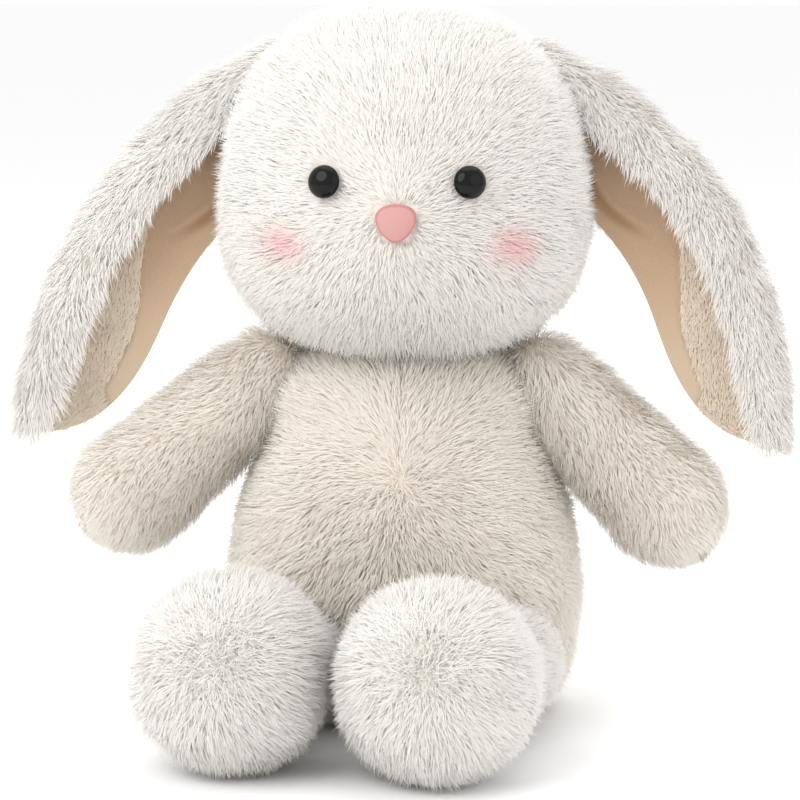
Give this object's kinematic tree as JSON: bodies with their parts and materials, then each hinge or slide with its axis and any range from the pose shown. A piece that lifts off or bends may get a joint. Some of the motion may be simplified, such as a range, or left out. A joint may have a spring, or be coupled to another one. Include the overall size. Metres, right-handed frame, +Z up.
{
  "type": "stuffed bunny rabbit",
  "caption": "Seated lop-eared stuffed bunny of white and cream long-pile plush, with a round head, velour-lined ears, and soft arms and ball feet that swing at sewn joints.",
  "frame": {"origin": "middle of the flat seat, on the surface the bunny sits on", "axes": "+Z up; the bunny faces -Y; +X is the bunny's own left"},
  "size_m": [0.3068, 0.2369, 0.272],
  "materials": {
    "white_plush": "long soft pile",
    "cream_plush": "soft pile",
    "ear_velour": "short velour",
    "nose_velvet": "velvet",
    "eye_gloss": "glossy",
    "washer_plastic": "moulded",
    "fibre_fill": "loose fibre",
    "pouch_cotton": "plain weave"
  },
  "bodies": {
    "torso": {"belly_left": "cream_plush", "belly_right": "cream_plush", "back_left": "cream_plush", "back_right": "cream_plush", "seat_panel": "cream_plush", "torso_stuffing": "fibre_fill", "pellet_pouch": "pouch_cotton", "tail": "white_plush"},
    "neck": {"neck_stuffing": "fibre_fill"},
    "head": {"face_left": "white_plush", "face_right": "white_plush", "back_of_head_left": "white_plush", "back_of_head_right": "white_plush", "head_stuffing": "fibre_fill", "eye_left": "eye_gloss", "eye_right": "eye_gloss", "eye_washer_left": "washer_plastic", "eye_washer_right": "washer_plastic", "nose": "nose_velvet"},
    "ear_left": {"ear_plush_left": "white_plush", "ear_lining_left": "ear_velour"},
    "ear_right": {"ear_plush_right": "white_plush", "ear_lining_right": "ear_velour"},
    "arm_left": {"arm_front_left": "cream_plush", "arm_back_left": "cream_plush", "arm_stuffing_left": "fibre_fill"},
    "arm_right": {"arm_front_right": "cream_plush", "arm_back_right": "cream_plush", "arm_stuffing_right": "fibre_fill"},
    "leg_left": {"leg_outer_left": "white_plush", "leg_inner_left": "white_plush", "foot_panel_left": "white_plush", "leg_stuffing_left": "fibre_fill"},
    "leg_right": {"leg_outer_right": "white_plush", "leg_inner_right": "white_plush", "foot_panel_right": "white_plush", "leg_stuffing_right": "fibre_fill"}
  },
  "joints": [
    {"name": "head_turn", "type": "hinge", "parent": "torso", "child": "neck", "pos_m": [0, 0, 0.138], "axis": [0, 0, 1], "range_deg": [-30, 30], "stiffness_Nm_per_rad": 0.6},
    {"name": "head_nod", "type": "hinge", "parent": "neck", "child": "head", "pos_m": [0, 0, 0.138], "axis": [1, 0, 0], "range_deg": [-4, 7], "stiffness_Nm_per_rad": 1.5},
    {"name": "ear_left_lift", "type": "hinge", "parent": "head", "child": "ear_left", "pos_m": [0.05482, 0.011, 0.2563], "axis": [0, -1, 0], "range_deg": [0, 50], "stiffness_Nm_per_rad": 0.12, "springref_deg": 2.86},
    {"name": "ear_right_lift", "type": "hinge", "parent": "head", "child": "ear_right", "pos_m": [-0.05516, 0.011, 0.25695], "axis": [0, 1, 0], "range_deg": [0, 50], "stiffness_Nm_per_rad": 0.12, "springref_deg": 2.86},
    {"name": "arm_left_swing", "type": "hinge", "parent": "torso", "child": "arm_left", "pos_m": [0.05285, 0, 0.13], "axis": [-1, 0, 0], "range_deg": [-8, 52], "stiffness_Nm_per_rad": 0.25},
    {"name": "arm_right_swing", "type": "hinge", "parent": "torso", "child": "arm_right", "pos_m": [-0.05285, 0, 0.13], "axis": [-1, 0, 0], "range_deg": [-8, 52], "stiffness_Nm_per_rad": 0.25},
    {"name": "leg_left_lift", "type": "hinge", "parent": "torso", "child": "leg_left", "pos_m": [0.0372, -0.046, 0.027], "axis": [-1, 0, 0], "range_deg": [0, 24], "stiffness_Nm_per_rad": 0.4},
    {"name": "leg_right_lift", "type": "hinge", "parent": "torso", "child": "leg_right", "pos_m": [-0.0372, -0.034, 0.027], "axis": [-1, 0, 0], "range_deg": [0, 24], "stiffness_Nm_per_rad": 0.4}
  ]
}
